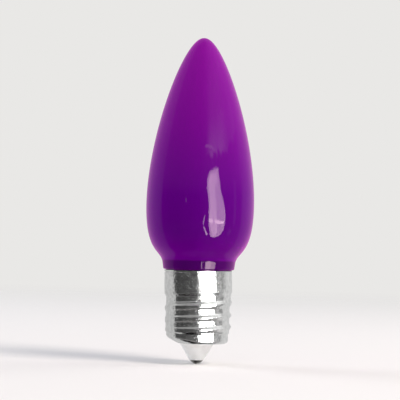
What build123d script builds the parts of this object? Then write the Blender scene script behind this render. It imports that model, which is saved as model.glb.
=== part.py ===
"""Christmas light bulb of the C9 size, with an E17 screw cap. Millimetres, +Z up.

The origin is the lowest point of the centre contact, on the bulb's own axis.
The pieces are the moulded cover, the rolled metal screw shell, the insulator
under it and the centre contact.
"""
import os
from math import atan2, cos, sin, sqrt

from build123d import *

# Cover: candle shape over a short collar
LENGTH = 79.4            # tip of the cover above the centre contact
BELLY_R = 13.15          # widest radius
BELLY_Z = 38.46          # its height
TIP_FLAT = 1.93          # how far the rounded tip runs out level before it turns down
SHOULDER_R = 5.43        # pull of the shoulder under the tip
SHOULDER_Z = 77.56
BELLY_RISE = 17.52       # length of the curve's straight pull above the belly
BELLY_FALL = 10.84       # and below it
WAIST_R = 9.82           # pull of the curve as it comes in to the collar
WAIST_Z = 27.31
CREASE_R = 9.06          # crease between candle and collar
CREASE_Z = 25.19
COLLAR_TOP_R = 8.93
COLLAR_TOP_Z = 24.85
COLLAR_FOOT_R = 8.68
COLLAR_FOOT_Z = 22.85
COLLAR_EDGE = 0.15       # bevel at the foot of the collar

# Screw shell: thin sheet, with a right-hand thread rolled into it
SHEET = 0.3
SHELL_R = 8.22           # plain barrel, and the thread's crests
BARREL_TOP_Z = 21.2      # above this the rim is flared
RIM_R = 8.4
RIM_Z = 22.75
PITCH = 2.822            # nine turns to the inch
THREAD_DEPTH = 0.5
CREST_ARC = 0.6          # rounding of a crest, as seen in section
CREST_PROUD = 0.02       # the roller's arcs would meet this far outside the metal
FIRST_ROOT_Z = 4.936     # the groove's height at +X where it starts, clear of the foot
GROOVE_TURNS = 3.75
FOOT_R = 7.5             # plain wall under the thread
FOOT_CORNER = 0.8        # turned in two bevels
FOOT_Z = 5.1             # flat underside of the shell
FOOT_TOP_Z = 7.3         # from here the wall widens to the thread
THREAD_START_Z = 8.3
MOUTH_R = 4.9            # round opening that the insulator comes through

# Last groove: a ring where the roller stopped, deepest at the left and the front
RUN_OUT_DEPTH = 0.37
RUN_OUT_SHIFT = (0.13, 0.15)
RUN_OUT_Z = 15.95
RUN_OUT_TILT = 2.3       # degrees, higher at +X

# Slope pressed into the shell's foot at -X
SLOPE_SHIFT = 3.0        # the cone's axis is this far towards +X
SLOPE_TOP_R = 7.5
SLOPE_TOP_Z = 6.5
SLOPE_RATE = 0.54        # fall for each millimetre inwards

# Inside of the shell, filled by the cover's plug and the insulator
BORE_R = 7.4
BORE_FOOT_R = 7.1
BORE_TOP_Z = 16.4        # the bore widens to the barrel above this
BORE_SPLIT_Z = 8.0       # the plug ends and the insulator starts here

# Insulator and centre contact
CONE_TOP_R = 3.65
CONE_TOP_Z = 4.2
CONE_END_R = 1.75
CONE_END_Z = 0.95
DOME_R = 1.6
SHANK_R = 0.8
SHANK_TOP_Z = 3.5


def candle_outline():
    """Half outline of the candle shape, from the tip to the crease."""
    upper = Bezier(
        (0, LENGTH), (TIP_FLAT, LENGTH), (SHOULDER_R, SHOULDER_Z),
        (BELLY_R, BELLY_Z + BELLY_RISE), (BELLY_R, BELLY_Z))
    lower = Bezier(
        (BELLY_R, BELLY_Z), (BELLY_R, BELLY_Z - BELLY_FALL),
        (WAIST_R, WAIST_Z), (CREASE_R, CREASE_Z))
    return upper, lower


def section(*lines):
    """Upright face inside a closed outline, drawn as radius and height."""
    edges = [edge for line in lines for edge in line.edges()]
    return Plane.XZ * make_face(Wire(edges))


def spun(*lines):
    """Solid turned about the axis from a closed half outline."""
    return revolve(section(*lines), Axis.Z)


def pressed_slope(lift=0.0):
    """Space under a leaning cone, which slopes the shell's foot at -X."""
    reach = 2 * SLOPE_TOP_R
    apex_z = SLOPE_TOP_Z + lift - SLOPE_RATE * (SLOPE_TOP_R + SLOPE_SHIFT)
    outline = Polyline(
        (0, apex_z), (reach, apex_z + SLOPE_RATE * reach), (reach, apex_z), close=True)
    return Pos(SLOPE_SHIFT, 0, 0) * spun(outline)


def inner_space():
    """Space inside the shell, which the cover's plug and the insulator share."""
    seat_z = FOOT_Z + SHEET
    neck_r = SHELL_R - SHEET
    outline = Polyline(
        (0, seat_z), (BORE_FOOT_R - SHEET, seat_z), (BORE_FOOT_R, seat_z + SHEET),
        (BORE_FOOT_R, FOOT_TOP_Z),
        (BORE_R, BORE_SPLIT_Z), (BORE_R, BORE_TOP_Z), (neck_r, BORE_TOP_Z + neck_r - BORE_R),
        (neck_r, BARREL_TOP_Z), (RIM_R - SHEET, RIM_Z - SHEET / 2),
        (RIM_R - SHEET, COLLAR_FOOT_Z), (0, COLLAR_FOOT_Z), close=True)
    return spun(outline) - pressed_slope(SHEET * sqrt(1 + SLOPE_RATE ** 2))


def groove_section(depth, root_z):
    """Section of the thread roller: a round nose between two rounded shoulders."""
    half = PITCH / 2
    crest_r = SHELL_R + CREST_PROUD
    arcs = (half ** 2 + depth ** 2) / (2 * depth)
    lean = atan2(half, arcs - depth)
    nose_r = crest_r - depth
    nose_arc = arcs - CREST_ARC
    joint = (nose_r + nose_arc * (1 - cos(lean)), nose_arc * sin(lean))
    land = sqrt(2 * CREST_ARC * CREST_PROUD)
    shoulder = (SHELL_R, half - land)
    outside = (SHELL_R + 2 * SHEET, half - land)

    def below(point):
        return point[0], root_z - point[1]

    def above(point):
        return point[0], root_z + point[1]

    return section(
        Polyline(below(shoulder), below(outside), above(outside), above(shoulder)),
        RadiusArc(above(shoulder), above(joint), CREST_ARC),
        ThreePointArc(above(joint), (nose_r, root_z), below(joint)),
        RadiusArc(below(joint), below(shoulder), CREST_ARC))


def thread_groove():
    """What the roller takes along its helix."""
    path = Helix(PITCH, PITCH * GROOVE_TURNS, SHELL_R, center=(0, 0, FIRST_ROOT_Z))
    return sweep(sections=groove_section(THREAD_DEPTH, FIRST_ROOT_Z), path=path, is_frenet=True)


def run_out_groove():
    """What the roller takes as it turns in place above the thread."""
    ring = revolve(groove_section(RUN_OUT_DEPTH, 0), Axis.Z)
    return Pos(*RUN_OUT_SHIFT, RUN_OUT_Z) * Rot(0, -RUN_OUT_TILT, 0) * ring


def make_envelope():
    """Cover with its collar, and the plug that seats in the shell."""
    upper, lower = candle_outline()
    collar = Polyline(
        (CREASE_R, CREASE_Z), (COLLAR_TOP_R, COLLAR_TOP_Z),
        (COLLAR_FOOT_R, COLLAR_FOOT_Z + COLLAR_EDGE), (COLLAR_FOOT_R - COLLAR_EDGE, COLLAR_FOOT_Z),
        (0, COLLAR_FOOT_Z), (0, LENGTH))
    plug = split(inner_space(), bisect_by=Plane.XY.offset(BORE_SPLIT_Z), keep=Keep.TOP)
    return spun(upper, lower, collar) + plug


def make_screw_shell():
    """Sheet-metal screw cap, open at the top, with a round mouth in its foot."""
    bevel = 0.29 * FOOT_CORNER
    outside = spun(Polyline(
        (0, FOOT_Z), (FOOT_R - FOOT_CORNER, FOOT_Z), (FOOT_R - bevel, FOOT_Z + bevel),
        (FOOT_R, FOOT_Z + FOOT_CORNER), (FOOT_R, FOOT_TOP_Z), (SHELL_R, THREAD_START_Z),
        (SHELL_R, BARREL_TOP_Z), (RIM_R, RIM_Z - SHEET / 2), (RIM_R - SHEET / 3, RIM_Z),
        (0, RIM_Z), close=True))
    mouth = Pos(0, 0, FOOT_Z) * Cylinder(MOUTH_R, 4 * SHEET)
    shell = outside - inner_space() - mouth
    return shell - thread_groove() - run_out_groove() - pressed_slope()


def make_insulator():
    """White cone under the shell, with the wide foot that sits inside it."""
    lean = (CONE_TOP_R - CONE_END_R, CONE_TOP_Z - CONE_END_Z)
    inside_z = FOOT_Z + 2 * SHEET
    cone = spun(
        Polyline((0, inside_z), (0, SHANK_TOP_Z), (SHANK_R, SHANK_TOP_Z), (SHANK_R, CONE_END_Z),
                 (CONE_END_R, CONE_END_Z), (CONE_TOP_R, CONE_TOP_Z)),
        TangentArc((CONE_TOP_R, CONE_TOP_Z), (MOUTH_R, FOOT_Z), tangent=lean),
        Polyline((MOUTH_R, FOOT_Z), (MOUTH_R, inside_z), (0, inside_z)))
    foot = split(inner_space(), bisect_by=Plane.XY.offset(BORE_SPLIT_Z), keep=Keep.BOTTOM)
    return cone + foot


def make_centre_contact():
    """Domed contact with the shank that holds it in the insulator."""
    ball = (DOME_R ** 2 + CONE_END_Z ** 2) / (2 * CONE_END_Z)
    middle = atan2(DOME_R, ball - CONE_END_Z) / 2
    dome = ThreePointArc((0, 0), (ball * sin(middle), ball * (1 - cos(middle))), (DOME_R, CONE_END_Z))
    shank = Polyline((DOME_R, CONE_END_Z), (SHANK_R, CONE_END_Z), (SHANK_R, SHANK_TOP_Z),
                     (0, SHANK_TOP_Z), (0, 0))
    return spun(dome, shank)


PIECES = {
    "envelope": make_envelope,
    "screw_shell": make_screw_shell,
    "insulator": make_insulator,
    "centre_contact": make_centre_contact,
}

os.makedirs("parts", exist_ok=True)
for name, make in PIECES.items():
    piece = make()
    export_step(piece, f"parts/{name}.step")
    print(name, "volume", round(piece.volume, 1), "valid", piece.is_valid)
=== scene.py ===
"""Purple Christmas light bulb of the C9 size on its screw cap, in a plain studio.

Lengths are in millimetres and turned to metres as each mesh is made, and the studio's own
are in metres. +Z is up, and the camera looks from -Y.
"""
from math import atan2, cos, pi, radians, sin

import bmesh
import bpy
from mathutils import Matrix, Vector, noise


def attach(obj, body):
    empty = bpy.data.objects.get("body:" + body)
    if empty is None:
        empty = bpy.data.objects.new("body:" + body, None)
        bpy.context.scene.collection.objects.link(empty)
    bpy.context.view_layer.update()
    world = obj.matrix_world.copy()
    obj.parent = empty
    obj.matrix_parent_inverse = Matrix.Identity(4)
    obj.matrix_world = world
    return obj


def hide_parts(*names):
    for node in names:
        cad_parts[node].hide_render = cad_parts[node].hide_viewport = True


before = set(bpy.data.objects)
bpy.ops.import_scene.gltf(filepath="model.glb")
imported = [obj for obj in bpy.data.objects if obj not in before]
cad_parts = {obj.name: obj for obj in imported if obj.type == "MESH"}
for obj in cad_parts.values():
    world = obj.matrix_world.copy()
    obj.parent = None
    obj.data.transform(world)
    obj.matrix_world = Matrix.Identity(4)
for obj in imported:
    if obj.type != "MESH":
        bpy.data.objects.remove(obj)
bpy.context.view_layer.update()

MM = 0.001

# Cover: a curve down to the belly, one on to the collar, and the collar
LENGTH = 79.4
BELLY_R, BELLY_Z = 13.15, 38.46
UPPER_CURVE = ((0, LENGTH), (1.93, LENGTH), (5.43, 77.56), (BELLY_R, 55.98), (BELLY_R, BELLY_Z))
LOWER_CURVE = ((BELLY_R, BELLY_Z), (BELLY_R, 27.62), (9.82, 27.31), (9.06, 25.19))
COLLAR_TOP_R, COLLAR_TOP_Z = 8.93, 24.85
COLLAR_FOOT_R, COLLAR_FOOT_Z = 8.68, 22.85
COLLAR_EDGE = 0.3
WAVE_DEPTH = 0.03          # the moulding is never truly round: hollows this deep
WAVE_LENGTH = 9.0
COVER_SEGMENTS = 200

# Screw cap: thin sheet with a thread rolled into it, and a ring where the roller stopped
SHEET = 0.3
SHELL_R = 8.22
BARREL_TOP_Z = 21.2
RIM_R, RIM_Z = 8.4, 22.62  # it ends just under the collar, which leaves a dark line
BEAD_Z = 22.25             # a crease here sets off the rolled bead of the rim
BEAD_CURVE = ((0.1, -0.3), (0.08, -0.1), (0.7, 0), (0.02, 0.05))    # inside the rim, above BEAD_Z
PITCH = 2.822
THREAD_DEPTH = 0.5
ROOT_SHARE = 0.4           # of the way from root to crest that the wide root takes
WALL_BEND = 0.45           # how far the wall is waved and not straight
BOWL_SHARE = 0.12          # of the depth that the root is dished by
FIRST_ROOT_Z = 4.936       # the groove's height at +X, where it starts
GROOVE_TURNS = 3.75
RING_DEPTH = 0.37          # the ring is off centre and tilted, deepest at the left and the front
RING_X, RING_Y, RING_Z = 0.13, 0.15, 15.95
RING_TILT = radians(2.3)
FOOT_R, FOOT_CORNER, FOOT_Z, FOOT_TOP_Z = 7.5, 0.8, 5.1, 7.3
THREAD_START_Z, THREAD_END_Z = 8.3, 17.9
THREAD_STEPS = 120
CAP_SEGMENTS = 300
MOUTH_R = 4.9
BORE_R, BORE_FOOT_R, BORE_TOP_Z = 7.4, 7.1, 16.4
BORE_SPLIT_Z = 8.0         # the cover's plug ends and the insulator starts here
SLOPE_SHIFT, SLOPE_TOP_R, SLOPE_TOP_Z, SLOPE_RATE = 3.0, 7.5, 6.5, 0.54    # pressed in at -X

# Insulator and contact
CONE_TOP_R, CONE_TOP_Z = 3.65, 4.2
CONE_END_R, CONE_END_Z = 1.75, 0.95
CONE_SEGMENTS = 128
THROAT_CURVE = ((4.2, 4.95), (3.95, 4.7))    # how the cone widens into the cap's mouth
THROAT_EDGE = 0.1
LIP_OUT, LIP_IN, LIP_RISE = 0.07, 0.1, 0.1    # rounding of the cone's lower edge
DOME_R = 1.6
SHANK_R, SHANK_TOP_Z = 0.8, 3.5
SOLDER_DEPTH, SOLDER_LENGTH = 0.05, 0.8    # hollows in the soldered dome
SOLDER_GAP = 0.01          # between the dome and the cone above it
DOME_STEPS = 14
CONTACT_SEGMENTS = 96
PLAY = 0.03                # clearance between pieces inside the cap
SHARP_ANGLE = radians(28)

# Camera
CAMERA_Y, CAMERA_Z = -360.0, 27.0
AIM_X, AIM_Z = -0.088, 39.77
FRAME_HEIGHT = 97.416      # height of the picture at the bulb's distance
ROLL = radians(1.42)
SENSOR_WIDTH = 36.0

# Studio, in metres
MIDDLE_Z = 0.038           # height on the bulb that the lamps and cards stand round
LAMP_DISTANCE = 0.9
CARD_DISTANCE = 1.5
FLOOR_REACH = 3
FADE_START, FADE_END = 0.12, 0.8    # the floor fades into the backdrop between these radii
GLOSS_RING_START = (0.011, 0.013)   # the gloss sees the floor faintly, in a ring round the bulb
GLOSS_RING_END = (0.017, 0.021)
GLOSS_RING_CLEAR = 0.75    # how much of the floor's ring the gloss looks through


def linear(code):
    """Linear colour from an sRGB hex code."""
    parts = [int(code[i:i + 2], 16) / 255 for i in (1, 3, 5)]
    return tuple(c / 12.92 if c <= 0.04045 else ((c + 0.055) / 1.055) ** 2.4 for c in parts) + (1,)


def add(tree, kind, inputs=(), **settings):
    """Adds a node with its settings, and a value or a link for each input, by place or name."""
    new = tree.nodes.new(kind)
    for key, value in settings.items():
        setattr(new, key, value)
    pairs = inputs.items() if isinstance(inputs, dict) else enumerate(inputs)
    for place, value in pairs:
        if isinstance(value, bpy.types.Node):
            value = value.outputs[0]
        if isinstance(value, bpy.types.NodeSocket):
            tree.links.new(value, new.inputs[place])
        else:
            new.inputs[place].default_value = value
    return new


def work_out(tree, known, rows):
    """Adds a node for each row of name, operation and operands, and keeps it under its name."""
    for name, operation, *operands in rows:
        values = [known.get(value, value) for value in operands]
        known[name] = add(tree, "ShaderNodeMath", values, operation=operation)
    return known


def bezier(points, steps):
    """Points along a curve pulled by its control points, its last point left out."""
    found = []
    for i in range(steps):
        row = [Vector(point) for point in points]
        while len(row) > 1:
            row = [a.lerp(b, i / steps) for a, b in zip(row, row[1:])]
        found.append(tuple(row[0]))
    return found


def arc(centre, radius, start, end, steps):
    """Points of an arc, both ends among them, between two angles in degrees."""
    turns = [radians(start + (end - start) * i / steps) for i in range(steps + 1)]
    return [(centre[0] + radius * cos(a), centre[1] + radius * sin(a)) for a in turns]


def line(start, end, steps):
    """Points along a straight run, its last point left out."""
    return [tuple(Vector(start).lerp(Vector(end), i / steps)) for i in range(steps)]


def finished(piece, material, node):
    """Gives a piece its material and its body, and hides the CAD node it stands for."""
    piece.data.materials.clear()
    piece.data.materials.append(material)
    piece.data.shade_smooth()
    piece.data.set_sharp_from_angle(angle=SHARP_ANGLE)
    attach(piece, "root")
    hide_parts(node)
    return piece


def turned(name, outline, segments, hollow=None):
    """Mesh turned from pairs of radius and height.

    They run from the top pole round the outside to the bottom one. hollow(x, y, z) says how
    far a point is drawn in towards the axis.
    """
    verts, faces = [(0, 0, outline[0][1])], []
    for radius, height in outline[1:-1]:
        for j in range(segments):
            a = 2 * pi * j / segments
            x, y = radius * cos(a), radius * sin(a)
            if hollow:
                keep = 1 - hollow(x, y, height) / radius
                x, y = x * keep, y * keep
            verts.append((x, y, height))
    verts.append((0, 0, outline[-1][1]))
    rings = len(outline) - 2
    last = len(verts) - 1
    for j in range(segments):
        k = (j + 1) % segments
        faces.append((0, 1 + j, 1 + k))
        for i in range(rings - 1):
            top, low = 1 + i * segments, 1 + (i + 1) * segments
            faces.append((top + j, low + j, low + k, top + k))
        foot = 1 + (rings - 1) * segments
        faces.append((foot + j, last, foot + k))
    mesh = bpy.data.meshes.new(name)
    mesh.from_pydata([Vector(v) * MM for v in verts], [], faces)
    piece = bpy.data.objects.new(name, mesh)
    bpy.context.scene.collection.objects.link(piece)
    return piece


def place_camera():
    """Camera below the bulb's middle and tilted up to it, rolled so that the tip leans right."""
    data = bpy.data.cameras.new("camera")
    camera = bpy.data.objects.new("camera", data)
    bpy.context.scene.collection.objects.link(camera)
    place = Vector((AIM_X, CAMERA_Y, CAMERA_Z)) * MM
    look = Vector((AIM_X, 0, AIM_Z)) * MM - place
    data.sensor_width = SENSOR_WIDTH
    data.lens = SENSOR_WIDTH * look.length / (FRAME_HEIGHT * MM)
    data.clip_start, data.clip_end = 0.01, 20
    look.normalize()
    side = look.cross(Vector((0, 0, 1))).normalized()
    up = side.cross(look)
    side, up = side * cos(ROLL) + up * sin(ROLL), up * cos(ROLL) - side * sin(ROLL)
    turn = Matrix((side, up, -look)).transposed().to_4x4()
    camera.matrix_world = Matrix.Translation(place) @ turn
    bpy.context.scene.camera = camera


def towards(azimuth, elevation, distance):
    """Point seen from the bulb's middle: azimuth runs from the camera's side towards +X."""
    a, e = radians(azimuth), radians(elevation)
    way = Vector((cos(e) * sin(a), -cos(e) * cos(a), sin(e)))
    return way * distance + Vector((0, 0, MIDDLE_Z))


def make_world():
    """Pale to the camera, plain and soft as light, and a room with a dark near side in gloss."""
    world = bpy.data.worlds.new("studio")
    bpy.context.scene.world = world
    world.use_nodes = True
    world.cycles.sampling_method = "NONE"
    tree = world.node_tree
    tree.nodes.clear()
    sky = add(tree, "ShaderNodeTexCoord").outputs["Generated"]
    way = add(tree, "ShaderNodeSeparateXYZ", [sky])
    known = {"x": way.outputs[0], "y": way.outputs[1], "z": way.outputs[2]}
    # The far half of the room is pale. Its edge stands further round on the right, and draws
    # back under the bulb
    edge_lean, edge_low, edge_back = -0.086, -0.4, -0.4
    work_out(tree, known, (
        ("down", "SUBTRACT", edge_low, "z"),
        ("under", "MAXIMUM", "down", 0),
        ("lean", "MULTIPLY_ADD", "x", edge_lean, "y"),
        ("depth", "MULTIPLY_ADD", "under", edge_back, "lean"),
    ))
    # A skylight high on the right, with a ragged lower edge
    ragged_depth = 0.14
    known["ragged"] = add(
        tree, "ShaderNodeTexNoise", {"Vector": sky, "Scale": 9.0, "Detail": 3.0})
    work_out(tree, known, (("sill", "MULTIPLY_ADD", "ragged", ragged_depth, "z"),))
    # Each row: what it reads, from where to where, and its strength at both. The near side is
    # dark, a little lighter on the right, above and just under the horizon, and darker again
    # straight below. The skylight is brightest along its lower edge, and dims overhead and at
    # the far right
    for name, source, *reach in (
            ("far", "depth", 0.065, 0.105, 0, 1),
            ("pale", "x", -0.6, 0.6, 0.54, 0.64),
            ("beside", "x", -0.1, 0.3, 0.05, 0.27),
            ("high", "z", 0.08, 0.22, 0, 0.24),
            ("low", "z", -0.12, -0.26, 0, 0.07),
            ("nadir", "z", -0.5, -0.75, 0, -0.12),
            ("opening", "sill", 0.43, 0.45, 0, 1),
            ("right hand", "x", 0.14, 0.4, 0, 1),
            ("glow", "z", 0.36, 0.58, 3.2, 0.7),
            ("within", "x", 0.68, 0.9, 1, 0.2),
            ("dim", "z", 0.55, 0.85, 1, 0.35)):
        known[name] = add(
            tree, "ShaderNodeMapRange", [known[source], *reach], interpolation_type="SMOOTHSTEP")
    made = work_out(tree, known, (
        ("floor", "ADD", "low", "nadir"),
        ("side", "ADD", "floor", "beside"),
        ("plain", "ADD", "side", "high"),
        ("glow dimmed", "MULTIPLY", "glow", "dim"),
        ("glow inside", "MULTIPLY", "glow dimmed", "within"),
        ("glow right", "MULTIPLY", "glow inside", "right hand"),
        ("near", "MULTIPLY_ADD", "glow right", "opening", "plain"),
        ("step", "SUBTRACT", "pale", "near"),
        ("room", "MULTIPLY_ADD", "step", "far", "near"),
    ))
    path = add(tree, "ShaderNodeLightPath")
    mirrored = add(tree, "ShaderNodeBackground", [(1, 1, 1, 1), made["room"]])
    soft = add(tree, "ShaderNodeBackground", [linear("#f5f7ff"), 0.6])
    seen = add(tree, "ShaderNodeBackground", [linear("#e9e8e6"), 1])
    lit = add(tree, "ShaderNodeMixShader", [path.outputs["Is Glossy Ray"], soft, mirrored])
    whole = add(tree, "ShaderNodeMixShader", [path.outputs["Is Camera Ray"], lit, seen])
    add(tree, "ShaderNodeOutputWorld", [whole])


def lamp(name, azimuth, elevation, size, watts, code):
    """Soft square lamp aimed at the bulb, seen neither by the camera nor in the gloss."""
    data = bpy.data.lights.new(name, "AREA")
    data.size, data.energy, data.color = size, watts, linear(code)[:3]
    light = bpy.data.objects.new(name, data)
    bpy.context.scene.collection.objects.link(light)
    place = towards(azimuth, elevation, LAMP_DISTANCE)
    turn = (place - towards(0, 0, 0)).to_track_quat("Z", "Y").to_matrix().to_4x4()
    light.matrix_world = Matrix.Translation(place) @ turn
    light.visible_camera = light.visible_glossy = False


def card(name, corners, foot, top, distance=CARD_DISTANCE):
    """Bright card that only the gloss sees, from corners given as azimuth and elevation.

    foot and top are its strength along its lower and its upper edge.
    """
    mesh = bpy.data.meshes.new(name)
    spots = [towards(a, e, distance) for a, e in corners]
    mesh.from_pydata(spots, [], [tuple(range(len(corners)))])
    material = bpy.data.materials.new(name)
    material.use_nodes = True
    tree = material.node_tree
    tree.nodes.clear()
    place = add(tree, "ShaderNodeTexCoord").outputs["Object"]
    height = add(tree, "ShaderNodeSeparateXYZ", [place]).outputs["Z"]
    heights = [spot.z for spot in spots]
    light = add(tree, "ShaderNodeMapRange", [height, min(heights), max(heights), foot, top])
    glow = add(tree, "ShaderNodeEmission", {"Strength": light})
    add(tree, "ShaderNodeOutputMaterial", [glow])
    mesh.materials.append(material)
    obj = bpy.data.objects.new(name, mesh)
    bpy.context.scene.collection.objects.link(obj)
    obj.visible_camera = obj.visible_diffuse = False
    obj.visible_transmission = obj.visible_shadow = False


def make_floor():
    """Matte pale floor that fades into the backdrop, and is clear from below.

    The gloss sees it only as a faint ring round the bulb.
    """
    mesh = bpy.data.meshes.new("floor")
    low, high = -FLOOR_REACH, FLOOR_REACH
    corners = [(low, low, 0), (high, low, 0), (high, high, 0), (low, high, 0)]
    mesh.from_pydata(corners, [], [(0, 1, 2, 3)])
    material = bpy.data.materials.new("matte paper")
    material.use_nodes = True
    tree = material.node_tree
    tree.nodes.clear()
    place = add(tree, "ShaderNodeTexCoord").outputs["Object"]
    reach = add(tree, "ShaderNodeVectorMath", [place], operation="LENGTH").outputs["Value"]
    fade, away, close = (
        add(tree, "ShaderNodeMapRange", [reach, *values], interpolation_type="SMOOTHSTEP")
        for values in (
            (FADE_START, FADE_END, 0, 1),
            (*GLOSS_RING_END, GLOSS_RING_CLEAR, 1),
            (*GLOSS_RING_START, 1, GLOSS_RING_CLEAR)))
    under = add(tree, "ShaderNodeNewGeometry").outputs["Backfacing"]
    mirrored = add(tree, "ShaderNodeLightPath").outputs["Is Glossy Ray"]
    outside = add(tree, "ShaderNodeMath", [away, close], operation="MAXIMUM")
    unseen = add(tree, "ShaderNodeMath", [outside, mirrored], operation="MULTIPLY")
    beyond = add(tree, "ShaderNodeMath", [fade, under], operation="MAXIMUM")
    open_share = add(tree, "ShaderNodeMath", [beyond, unseen], operation="MAXIMUM")
    paper = add(tree, "ShaderNodeBsdfDiffuse", [linear("#e6e5e3")])
    clear = add(tree, "ShaderNodeBsdfTransparent")
    mixed = add(tree, "ShaderNodeMixShader", [open_share, paper, clear])
    add(tree, "ShaderNodeOutputMaterial", [mixed])
    mesh.materials.append(material)
    obj = bpy.data.objects.new("floor", mesh)
    bpy.context.scene.collection.objects.link(obj)


def surface(name, **values):
    """New material with its shader, whose plain values are set on its own sockets."""
    material = bpy.data.materials.new(name)
    material.use_nodes = True
    tree = material.node_tree
    tree.nodes.clear()
    plain = {key.replace("_", " "): value for key, value in values.items()}
    shader = add(tree, "ShaderNodeBsdfPrincipled", plain)
    add(tree, "ShaderNodeOutputMaterial", [shader])
    place = add(tree, "ShaderNodeTexCoord").outputs["Object"]
    return material, tree, shader, place


def moulded_polycarbonate():
    """Moulded polycarbonate: a clear gloss over a full deep purple, with painted light in its
    colour: paler and redder towards the tip, and lighter low on the belly.
    """
    material, tree, shader, place = surface(
        "moulded polycarbonate", IOR=1.5, Specular_IOR_Level=0.15,
        Specular_Tint=linear("#ffdae6"), Sheen_Weight=0.58, Sheen_Roughness=0.4,
        Sheen_Tint=linear("#f214dc"))
    height = add(tree, "ShaderNodeSeparateXYZ", [place]).outputs["Z"]
    # The collar is darker than the candle above it. Above the collar the colour holds painted
    # light: lighter low on the belly, where the lamps leave it in shade, and paler and redder up to
    # the tip, as if lit from above
    share = add(tree, "ShaderNodeMapRange", [height, 20 * MM, LENGTH * MM, 0, 1])
    purple_and_painted_light = add(tree, "ShaderNodeValToRGB", [share])
    stops = (
        (0.084, "#46005e"), (0.087, "#660084"), (0.2, "#59007a"), (0.35, "#5c007e"),
        (0.62, "#730389"), (1.0, "#850c92"))
    purple_and_painted_light.color_ramp.elements.remove(purple_and_painted_light.color_ramp.elements[0])
    for i, (at, code) in enumerate(stops):
        stop = purple_and_painted_light.color_ramp.elements[0] if i == 0 else purple_and_painted_light.color_ramp.elements.new(at)
        stop.position, stop.color = at, linear(code)
    tree.links.new(purple_and_painted_light.outputs["Color"], shader.inputs["Base Color"])
    # Handling leaves faint scuffs, a few millimetres long
    scuff = add(tree, "ShaderNodeTexNoise", {
        "Vector": place, "Scale": 1 / (6 * MM), "Detail": 4.0, "Roughness": 0.7})
    rough = add(tree, "ShaderNodeMapRange", [scuff, 0.45, 0.8, 0.035, 0.1])
    tree.links.new(rough.outputs[0], shader.inputs["Roughness"])
    # The skin of the moulding ripples slightly, at about 2.5 mm
    ripple = add(tree, "ShaderNodeTexNoise", {
        "Vector": place, "Scale": 1 / (2.5 * MM), "Detail": 1.0})
    bump = add(tree, "ShaderNodeBump", {"Strength": 0.25, "Distance": 0.01 * MM, "Height": ripple})
    tree.links.new(bump.outputs[0], shader.inputs["Normal"])
    return material


def nickel_plated_sheet():
    """Bright nickel plating on rolled sheet: mirrors the room, a little clouded and dented."""
    material, tree, shader, place = surface("nickel plated sheet", Metallic=1.0)
    cloud = add(tree, "ShaderNodeTexNoise", {
        "Vector": place, "Scale": 1 / (1.1 * MM), "Detail": 5.0, "Roughness": 0.7})
    tint = add(tree, "ShaderNodeValToRGB", [cloud])
    stops = ((0.3, "#e0e0df"), (0.6, "#f8f8f7"))
    for stop, (at, code) in zip(tint.color_ramp.elements, stops):
        stop.position, stop.color = at, linear(code)
    tree.links.new(tint.outputs["Color"], shader.inputs["Base Color"])
    rough = add(tree, "ShaderNodeMapRange", [cloud, 0.3, 0.7, 0.14, 0.22])
    tree.links.new(rough.outputs[0], shader.inputs["Roughness"])
    # Pitting left by the plating bath, about 0.35 mm across
    pits = add(tree, "ShaderNodeTexNoise", {
        "Vector": place, "Scale": 1 / (0.35 * MM), "Detail": 2.0})
    fine = add(tree, "ShaderNodeBump", {"Strength": 1.0, "Distance": 0.03 * MM, "Height": pits})
    # The drawn sheet is never flat: shallow dents about a millimetre across
    dents = add(tree, "ShaderNodeTexNoise", {
        "Vector": place, "Scale": 1 / (0.9 * MM), "Detail": 1.0})
    bump = add(tree, "ShaderNodeBump", {
        "Strength": 1.0, "Distance": 0.07 * MM, "Height": dents, "Normal": fine})
    tree.links.new(bump.outputs[0], shader.inputs["Normal"])
    return material


def moulded_urea():
    """White moulded urea resin: dense, slightly waxy, with a fine grain from the mould."""
    material, tree, shader, place = surface("moulded urea resin", Roughness=0.42, IOR=1.55)
    cloud = add(tree, "ShaderNodeTexNoise", {"Vector": place, "Scale": 1 / (2 * MM), "Detail": 3.0})
    tint = add(tree, "ShaderNodeValToRGB", [cloud])
    stops = ((0.3, "#f2f2f0"), (0.6, "#fbfbfa"))
    for stop, (at, code) in zip(tint.color_ramp.elements, stops):
        stop.position, stop.color = at, linear(code)
    tree.links.new(tint.outputs["Color"], shader.inputs["Base Color"])
    grain = add(tree, "ShaderNodeTexNoise", {
        "Vector": place, "Scale": 1 / (0.25 * MM), "Detail": 2.0})
    bump = add(tree, "ShaderNodeBump", {"Strength": 0.3, "Distance": 0.01 * MM, "Height": grain})
    tree.links.new(bump.outputs[0], shader.inputs["Normal"])
    return material


def soldered_tin():
    """Dull tin of the soldered contact: grey and satin, with darker flux stains."""
    material, tree, shader, place = surface("soldered tin", Metallic=1.0)
    cloud = add(tree, "ShaderNodeTexNoise", {
        "Vector": place, "Scale": 1 / (0.7 * MM), "Detail": 4.0})
    tint = add(tree, "ShaderNodeValToRGB", [cloud])
    stops = ((0.35, "#3c3a39"), (0.6, "#9a9894"))
    for stop, (at, code) in zip(tint.color_ramp.elements, stops):
        stop.position, stop.color = at, linear(code)
    tree.links.new(tint.outputs["Color"], shader.inputs["Base Color"])
    rough = add(tree, "ShaderNodeMapRange", [cloud, 0.3, 0.7, 0.5, 0.3])
    tree.links.new(rough.outputs[0], shader.inputs["Roughness"])
    return material


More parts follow.
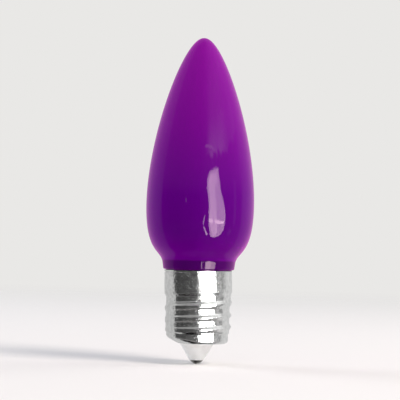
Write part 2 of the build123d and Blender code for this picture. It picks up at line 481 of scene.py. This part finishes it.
def groove_rows(label, offset):
    """Rows that give the groove's own radius at an offset from the middle of its root.

    The root is a wide shallow bowl, and a steep wall rises from it to a narrow crest.
    """
    return (
        (label + "far", "ABSOLUTE", offset),
        (label + "reach", "DIVIDE", label + "far", "Half"),
        (label + "off", "MINIMUM", label + "reach", 1),
        (label + "bowl", "MULTIPLY", label + "off", label + "off"),
        (label + "past root", "SUBTRACT", label + "off", "Root Share"),
        (label + "on wall", "MAXIMUM", label + "past root", 0),
        (label + "swing", "MULTIPLY", label + "on wall", "Wall Swing"),
        (label + "wave", "COSINE", label + "swing"),
        (label + "swell", "MULTIPLY_ADD", label + "wave", -0.5, 0.5),
        (label + "slant", "DIVIDE", label + "on wall", "Wall Share"),
        (label + "bend", "SUBTRACT", label + "swell", label + "slant"),
        (label + "wall", "MULTIPLY_ADD", label + "bend", "Wall Bend", label + "slant"),
        (label + "lack", "SUBTRACT", label + "bowl", label + "wall"),
        (label + "rise", "MULTIPLY_ADD", label + "lack", "Bowl Share", label + "wall"),
        (label + "left", "SUBTRACT", label + "rise", 1),
        (label + "groove", "MULTIPLY_ADD", label + "left", label + "Depth", "Crest R"),
    )


CAP_RULE = (
    ("angle", "MULTIPLY", "turn", 2 * pi),
    ("c", "COSINE", "angle"),
    ("s", "SINE", "angle"),
    # The thread: which lap of the helix is nearest, and how far off its root this point is
    ("rise", "SUBTRACT", "z", "First Root"),
    ("laps", "DIVIDE", "rise", "Pitch"),
    ("behind", "SUBTRACT", "laps", "turn"),
    ("round", "ROUND", "behind"),
    ("lap", "MAXIMUM", "round", 0),
    ("rolled", "ADD", "lap", "turn"),
    ("within", "LESS_THAN", "rolled", "Turns"),
    ("miss", "SUBTRACT", "behind", "lap"),
    ("offset", "MULTIPLY", "miss", "Pitch"),
    *groove_rows("Thread ", "offset"),
    ("over", "SUBTRACT", "r", "Thread groove"),
    ("bite", "MAXIMUM", "over", 0),
    ("bite in reach", "MULTIPLY", "bite", "within"),
    ("cut", "MULTIPLY", "bite in reach", "outside"),
    ("r threaded", "SUBTRACT", "r", "cut"),
    # The ring where the roller stopped, on its own tilted axis
    ("x1", "MULTIPLY", "r threaded", "c"),
    ("y1", "MULTIPLY", "r threaded", "s"),
    ("dx", "SUBTRACT", "x1", "Ring X"),
    ("dy", "SUBTRACT", "y1", "Ring Y"),
    ("dz", "SUBTRACT", "z", "Ring Z"),
    ("tilt c", "COSINE", "Ring Tilt"),
    ("tilt s", "SINE", "Ring Tilt"),
    ("dx c", "MULTIPLY", "dx", "tilt c"),
    ("x own", "MULTIPLY_ADD", "dz", "tilt s", "dx c"),
    ("dx s", "MULTIPLY", "dx", "tilt s"),
    ("dz c", "MULTIPLY", "dz", "tilt c"),
    ("z own", "SUBTRACT", "dz c", "dx s"),
    *groove_rows("Ring ", "z own"),
    ("x own square", "MULTIPLY", "x own", "x own"),
    ("own square", "MULTIPLY_ADD", "dy", "dy", "x own square"),
    ("r own", "SQRT", "own square"),
    ("ring over", "SUBTRACT", "r own", "Ring groove"),
    ("ring bite", "MAXIMUM", "ring over", 0),
    ("ring cut", "MULTIPLY", "ring bite", "outside"),
    ("r end", "SUBTRACT", "r threaded", "ring cut"),
    ("x", "MULTIPLY", "r end", "c"),
    ("y", "MULTIPLY", "r end", "s"),
    # The foot, pressed up in a slope at -X
    ("from slope", "SUBTRACT", "x", "Slope Shift"),
    ("from slope square", "MULTIPLY", "from slope", "from slope"),
    ("reach square", "MULTIPLY_ADD", "y", "y", "from slope square"),
    ("reach", "SQRT", "reach square"),
    ("past", "SUBTRACT", "reach", "Slope Start"),
    ("raise", "MULTIPLY", "past", "Slope Rate"),
    ("lift", "MAXIMUM", "raise", 0),
    ("up", "SUBTRACT", "z", "Foot Z"),
    ("fade", "DIVIDE", "up", "Slope Height"),
    ("left over", "SUBTRACT", 1, "fade"),
    ("share", "MAXIMUM", "left over", 0),
    ("z end", "MULTIPLY_ADD", "lift", "share", "z"),
)


def cap_tree(sizes):
    """Node tree that turns a section round the axis and rolls the thread into its outside."""
    tree = bpy.data.node_groups.new("rolled screw cap", "GeometryNodeTree")
    tree.interface.new_socket("Geometry", in_out="OUTPUT", socket_type="NodeSocketGeometry")
    tree.interface.new_socket("Section", in_out="INPUT", socket_type="NodeSocketGeometry")
    tree.interface.new_socket("Segments", in_out="INPUT", socket_type="NodeSocketInt")
    tree.interface.new_socket("Material", in_out="INPUT", socket_type="NodeSocketMaterial")
    for name in sizes:
        tree.interface.new_socket(name, in_out="INPUT", socket_type="NodeSocketFloat")
    given = add(tree, "NodeGroupInput")
    known = {name: given.outputs[name] for name in sizes}
    spot = add(tree, "GeometryNodeInputPosition")
    skin = add(tree, "GeometryNodeInputNamedAttribute", {"Name": "outside"}, data_type="FLOAT")
    held = add(tree, "GeometryNodeCaptureAttribute", [given.outputs["Section"]])
    held.capture_items.new("VECTOR", "Place")
    held.capture_items.new("FLOAT", "Outside")
    tree.links.new(spot.outputs[0], held.inputs["Place"])
    tree.links.new(skin.outputs["Attribute"], held.inputs["Outside"])
    section = add(tree, "GeometryNodeMeshToCurve", [held.outputs["Geometry"]])
    # The circle gives each point its turn alone, and the rule says where the point goes
    circle = add(tree, "GeometryNodeCurvePrimitiveCircle", {
        "Resolution": given.outputs["Segments"], "Radius": 0.1})
    way = add(tree, "GeometryNodeCaptureAttribute", [circle.outputs["Curve"]])
    way.capture_items.new("FLOAT", "Turn")
    tree.links.new(add(tree, "GeometryNodeSplineParameter").outputs["Factor"], way.inputs["Turn"])
    swept = add(tree, "GeometryNodeCurveToMesh", {
        "Curve": way.outputs["Geometry"], "Profile Curve": section})
    place = add(tree, "ShaderNodeSeparateXYZ", [held.outputs["Place"]])
    known.update({"r": place.outputs[0], "z": place.outputs[2], "turn": way.outputs["Turn"],
                  "outside": held.outputs["Outside"]})
    work_out(tree, known, CAP_RULE)
    point = add(tree, "ShaderNodeCombineXYZ", [known["x"], known["y"], known["z end"]])
    metres = add(tree, "ShaderNodeVectorMath", {0: point, "Scale": MM}, operation="SCALE")
    rolled = add(tree, "GeometryNodeSetPosition", {"Geometry": swept, "Position": metres})
    real = add(tree, "GeometryNodeRealizeInstances", [rolled])
    dressed = add(tree, "GeometryNodeSetMaterial", {
        "Geometry": real, "Material": given.outputs["Material"]})
    add(tree, "NodeGroupOutput", [dressed])
    return tree


def make_cap(material):
    """Screw cap: its sheet's section, turned and threaded by the node tree."""
    neck = SHELL_R - SHEET
    lip = SHEET / 2
    past_arc = 0.1         # the wall starts above the arc's last point, and never doubles it
    corner = (FOOT_R - FOOT_CORNER, FOOT_Z + FOOT_CORNER)
    outside = line((MOUTH_R, FOOT_Z), (corner[0], FOOT_Z), 8)
    outside += arc(corner, FOOT_CORNER, -90, 0, 8)
    outside += line((FOOT_R, corner[1] + past_arc), (FOOT_R, FOOT_TOP_Z), 10)
    outside += line((FOOT_R, FOOT_TOP_Z), (SHELL_R, THREAD_START_Z), 12)
    outside += line((SHELL_R, THREAD_START_Z), (SHELL_R, THREAD_END_Z), THREAD_STEPS)
    outside += line((SHELL_R, THREAD_END_Z), (SHELL_R, BARREL_TOP_Z), 6)
    bead = [(RIM_R - inwards, BEAD_Z + rise) for inwards, rise in BEAD_CURVE]
    outside += line((SHELL_R, BARREL_TOP_Z), bead[0], 8)
    outside += bezier((*bead, (RIM_R, RIM_Z - lip)), 12)
    outside += arc((RIM_R - lip, RIM_Z - lip), lip, 0, 90, 5)
    inside = arc((RIM_R - lip, RIM_Z - lip), lip, 108, 180, 4)
    inside += [(neck, BARREL_TOP_Z), (neck, BORE_TOP_Z + neck - BORE_R), (BORE_R, BORE_TOP_Z)]
    inside += line((BORE_R, BORE_SPLIT_Z), (BORE_FOOT_R, FOOT_TOP_Z), 4)
    inside += line((BORE_FOOT_R, FOOT_TOP_Z), (BORE_FOOT_R, FOOT_Z + 2 * SHEET), 6)
    inside += line((BORE_FOOT_R, FOOT_Z + 2 * SHEET), (BORE_FOOT_R - SHEET, FOOT_Z + SHEET), 3)
    inside += line((BORE_FOOT_R - SHEET, FOOT_Z + SHEET), (MOUTH_R, FOOT_Z + SHEET), 8)
    inside += [(MOUTH_R, FOOT_Z + SHEET)]
    points = outside + inside
    mesh = bpy.data.meshes.new("cap section")
    edges = [(i, (i + 1) % len(points)) for i in range(len(points))]
    mesh.from_pydata([(r, 0, z) for r, z in points], edges, [])
    flag = mesh.attributes.new("outside", "FLOAT", "POINT")
    flag.data.foreach_set("value", [1.0] * len(outside) + [0.0] * len(inside))
    stock = bpy.data.objects.new("cap section", mesh)
    bpy.context.scene.collection.objects.link(stock)
    sizes = {
        "First Root": FIRST_ROOT_Z, "Pitch": PITCH, "Half": PITCH / 2, "Turns": GROOVE_TURNS,
        "Crest R": SHELL_R, "Thread Depth": THREAD_DEPTH, "Ring Depth": RING_DEPTH,
        "Root Share": ROOT_SHARE, "Wall Share": 1 - ROOT_SHARE,
        "Wall Swing": pi / (1 - ROOT_SHARE), "Wall Bend": WALL_BEND, "Bowl Share": BOWL_SHARE,
        "Ring X": RING_X, "Ring Y": RING_Y, "Ring Z": RING_Z, "Ring Tilt": RING_TILT,
        "Foot Z": FOOT_Z, "Slope Shift": SLOPE_SHIFT, "Slope Rate": SLOPE_RATE,
        "Slope Start": SLOPE_TOP_R + SLOPE_SHIFT - (SLOPE_TOP_Z - FOOT_Z) / SLOPE_RATE,
        "Slope Height": BORE_SPLIT_Z - FOOT_Z}
    tree = cap_tree(sizes)
    modifier = stock.modifiers.new("rolled", "NODES")
    modifier.node_group = tree
    wanted = dict(sizes, Segments=CAP_SEGMENTS, Material=material)
    for item in tree.interface.items_tree:
        if item.in_out == "INPUT" and item.name in wanted:
            modifier[item.identifier] = wanted[item.name]
    ready = stock.evaluated_get(bpy.context.evaluated_depsgraph_get())
    mesh = bpy.data.meshes.new_from_object(ready)
    bpy.data.objects.remove(stock)
    if "outside" in mesh.attributes:
        mesh.attributes.remove(mesh.attributes["outside"])
    work = bmesh.new()
    work.from_mesh(mesh)
    bmesh.ops.recalc_face_normals(work, faces=work.faces)
    work.to_mesh(mesh)
    work.free()
    cap = bpy.data.objects.new("threaded_cap", mesh)
    bpy.context.scene.collection.objects.link(cap)
    return finished(cap, material, "screw_shell")


def wave(x, y, z):
    """How far the cover's skin lies inside its true shape here."""
    spot = Vector((x, y, z)) / WAVE_LENGTH
    return WAVE_DEPTH * (0.5 + 0.5 * noise.noise(spot))


def make_cover(material):
    """Candle-shaped cover with its collar and the plug inside the cap."""
    neck = SHELL_R - SHEET - PLAY
    rim = RIM_R - SHEET - PLAY
    bore = BORE_R - PLAY
    foot_z = COLLAR_FOOT_Z + COLLAR_EDGE
    outline = bezier(UPPER_CURVE, 130) + bezier(LOWER_CURVE, 60) + [LOWER_CURVE[-1]]
    outline += line((COLLAR_TOP_R, COLLAR_TOP_Z), (COLLAR_FOOT_R, foot_z), 8)
    outline += arc((COLLAR_FOOT_R - COLLAR_EDGE, foot_z), COLLAR_EDGE, 0, -90, 4)
    outline += [(rim, COLLAR_FOOT_Z), (rim, RIM_Z - SHEET), (neck, BARREL_TOP_Z),
                (neck, BORE_TOP_Z + neck - bore + PLAY), (bore, BORE_TOP_Z + PLAY),
                (bore, BORE_SPLIT_Z + PLAY), (0, BORE_SPLIT_Z + PLAY)]
    cover = turned("bulb_cover", outline, COVER_SEGMENTS, wave)
    return finished(cover, material, "envelope")


def make_insulator(material):
    """White cone under the cap, with its neck inside the mouth."""
    neck = MOUTH_R - PLAY
    bore = SHANK_R + PLAY
    top = (CONE_TOP_R, CONE_TOP_Z)
    lip_start = (CONE_END_R + LIP_OUT, CONE_END_Z + LIP_RISE)
    lip_end = (CONE_END_R - LIP_IN, CONE_END_Z)
    outline = [(0, BORE_SPLIT_Z - PLAY), (neck, BORE_SPLIT_Z - PLAY), (neck, FOOT_Z + THROAT_EDGE)]
    outline += bezier(((neck, FOOT_Z), *THROAT_CURVE, top), 12)
    outline += line(top, lip_start, 12)
    outline += bezier((lip_start, (CONE_END_R, CONE_END_Z), lip_end), 4)
    outline += [lip_end, (bore, CONE_END_Z), (bore, SHANK_TOP_Z + PLAY), (0, SHANK_TOP_Z + PLAY)]
    cone = turned("cone_insulator", outline, CONE_SEGMENTS)
    return finished(cone, material, "insulator")


def make_contact(material):
    """Domed end contact and its shank, a little uneven where it was soldered."""
    def uneven(x, y, z):
        sunk = 0.5 + 0.5 * noise.noise(Vector((x, y, z)) / SOLDER_LENGTH)
        return SOLDER_DEPTH * sunk * (z < CONE_END_Z - SOLDER_DEPTH)

    ball = (DOME_R ** 2 + CONE_END_Z ** 2) / (2 * CONE_END_Z)
    rise = atan2(DOME_R, ball - CONE_END_Z)
    turns = [rise * (1 - i / DOME_STEPS) for i in range(DOME_STEPS)]
    outline = [(0, SHANK_TOP_Z), (SHANK_R, SHANK_TOP_Z), (SHANK_R, CONE_END_Z - SOLDER_GAP)]
    outline += [(ball * sin(a), ball * (1 - cos(a)) - SOLDER_GAP * a / rise) for a in turns]
    outline += [(0, 0)]
    contact = turned("end_contact", outline, CONTACT_SEGMENTS, uneven)
    return finished(contact, material, "centre_contact")


place_camera()
make_world()
make_floor()
# Lamps, each by azimuth, elevation, size, watts and colour
lamp("key lamp", 55, 42, 0.35, 5.5, "#fff3ea")
lamp("left lamp", -115, 20, 0.5, 3.6, "#f8f9ff")
lamp("right lamp", 118, 20, 0.5, 2.3, "#fffaf8")
# The window on the right, a brighter pane in it and a bright rail across it, both nearer
card("window", (
    (18, 16), (29, 17), (38, 17), (41, 13), (44, 8), (51, 3), (55, -2), (56, -9), (54, -19),
    (47, -28), (36, -32), (27, -32), (22, -22), (18, -9), (18, 1), (16, 7), (13, 10), (14, 14)),
    22, 19)
card("window pane", (
    (20, 15), (27, 15.5), (35, 15.5), (36, 8), (37, 0), (40, -9), (41, -20), (37, -29), (34, -31),
    (25, -20), (20.5, -9), (20.5, 1), (19, 7), (17, 10), (17, 13)), 33, 26, 1.45)
card("window rail", ((19, -8), (53, -9), (53, -12), (20, -12)), 48, 45, 1.4)
# Slivers of light to the left of the window
card("window side", ((8.5, -6), (11, -6), (8, -15), (5.5, -14)), 17, 13)
card("window corner", ((7, -17), (10.5, -17), (20, -28), (16, -29)), 24, 18)
# Bright line under the skylight, a dim door far round on the right, and a lamp on the left
card("skylight edge", (
    (9, 25.2), (14, 25.5), (22, 25), (30, 23.8), (36, 22.4), (36, 21.9), (30, 23.1),
    (22, 24.2), (14, 24.7), (9, 24.6)), 6, 6)
card("door edge", ((76, -10), (82, -10), (82, 11), (76, 11)), 0.7, 0.7)
card("door foot", ((66, -20), (73, -15), (74, -18), (68, -23)), 1.4, 1.4)
card("far lamp", ((-31, 2.5), (-29, 2.5), (-29, 4.5), (-31, 4.5)), 4, 4)
make_cover(moulded_polycarbonate())
make_cap(nickel_plated_sheet())
make_insulator(moulded_urea())
make_contact(soldered_tin())

bpy.context.scene.view_settings.view_transform = "Standard"
